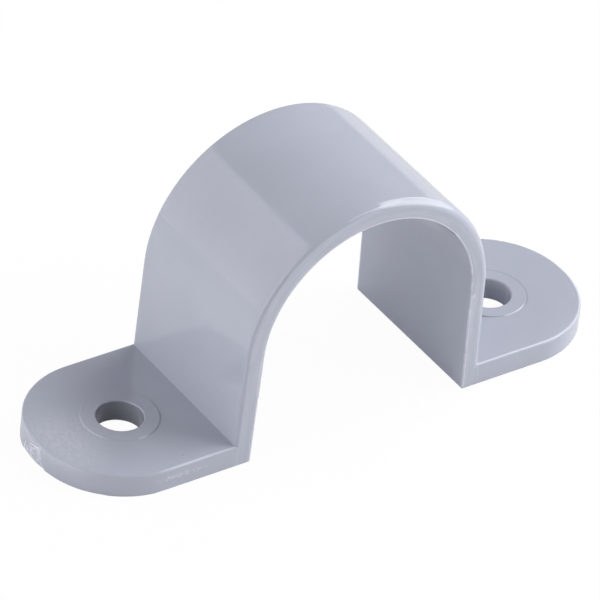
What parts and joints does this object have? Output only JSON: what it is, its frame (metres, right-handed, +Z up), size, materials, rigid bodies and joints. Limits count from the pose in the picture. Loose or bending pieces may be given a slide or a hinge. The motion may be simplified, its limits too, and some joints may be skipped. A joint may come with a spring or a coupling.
{
  "type": "pipe clip",
  "caption": "Moulded plastic saddle clip: a half-round band on short legs holds a pipe down, with a rounded, drilled lug on each side for a screw.",
  "frame": {"origin": "on the plane the lugs stand on, under the middle of the clip", "axes": "+Z up from the mounting surface, +X from lug to lug towards the lug without the gate mark, +Y along the pipe"},
  "size_m": [0.0668, 0.0198, 0.0282],
  "materials": {
    "grey_pvc": "smooth moulded rigid PVC, light blue-grey, semi-gloss"
  },
  "bodies": {
    "root": {"pipe_clip": "grey_pvc"}
  },
  "joints": []
}
